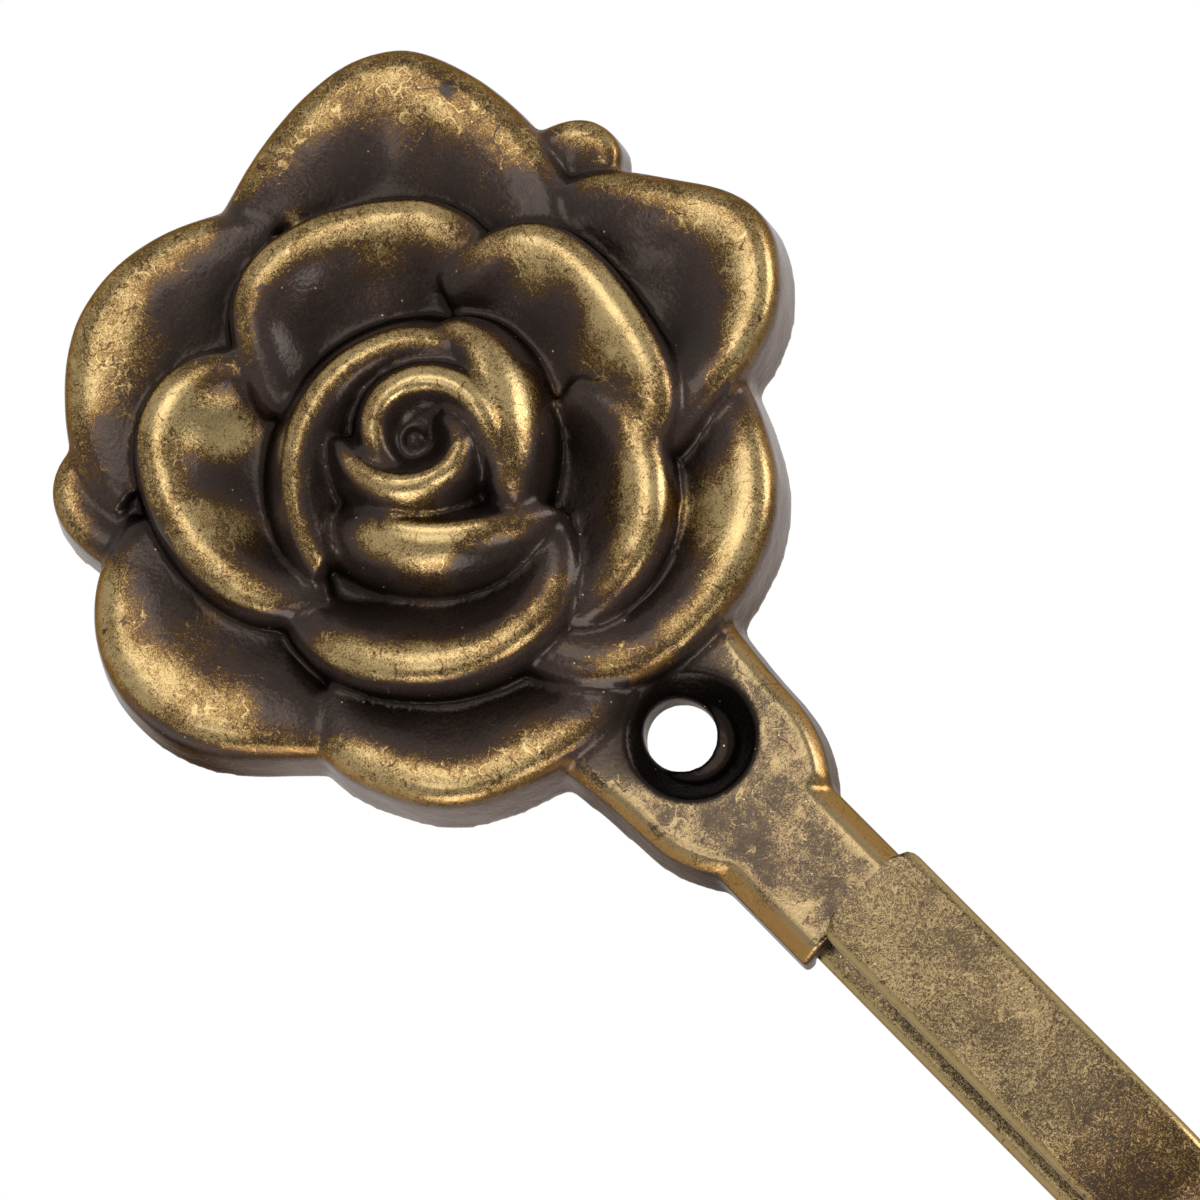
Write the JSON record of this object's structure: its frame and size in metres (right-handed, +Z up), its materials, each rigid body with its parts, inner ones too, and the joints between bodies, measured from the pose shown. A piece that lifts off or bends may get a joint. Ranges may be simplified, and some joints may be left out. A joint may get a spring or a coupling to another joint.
{
  "type": "curtain tieback hook",
  "caption": "Wall hook for a curtain tieback: a cast rose over a neck with a screw hole, and a flat strip bent up into a hook that holds the tieback's loop.",
  "frame": {"origin": "centre of the screw hole on the wall plane", "axes": "+Z up the wall from the hook to the rose, -Y off the wall into the room, +X to the right seen from the room"},
  "size_m": [0.0542, 0.023, 0.1038],
  "materials": {
    "antique_brass_casting": "satin",
    "antique_brass_strip": "satin"
  },
  "bodies": {
    "root": {"rose_plate": "antique_brass_casting", "arm": "antique_brass_strip"}
  },
  "joints": []
}
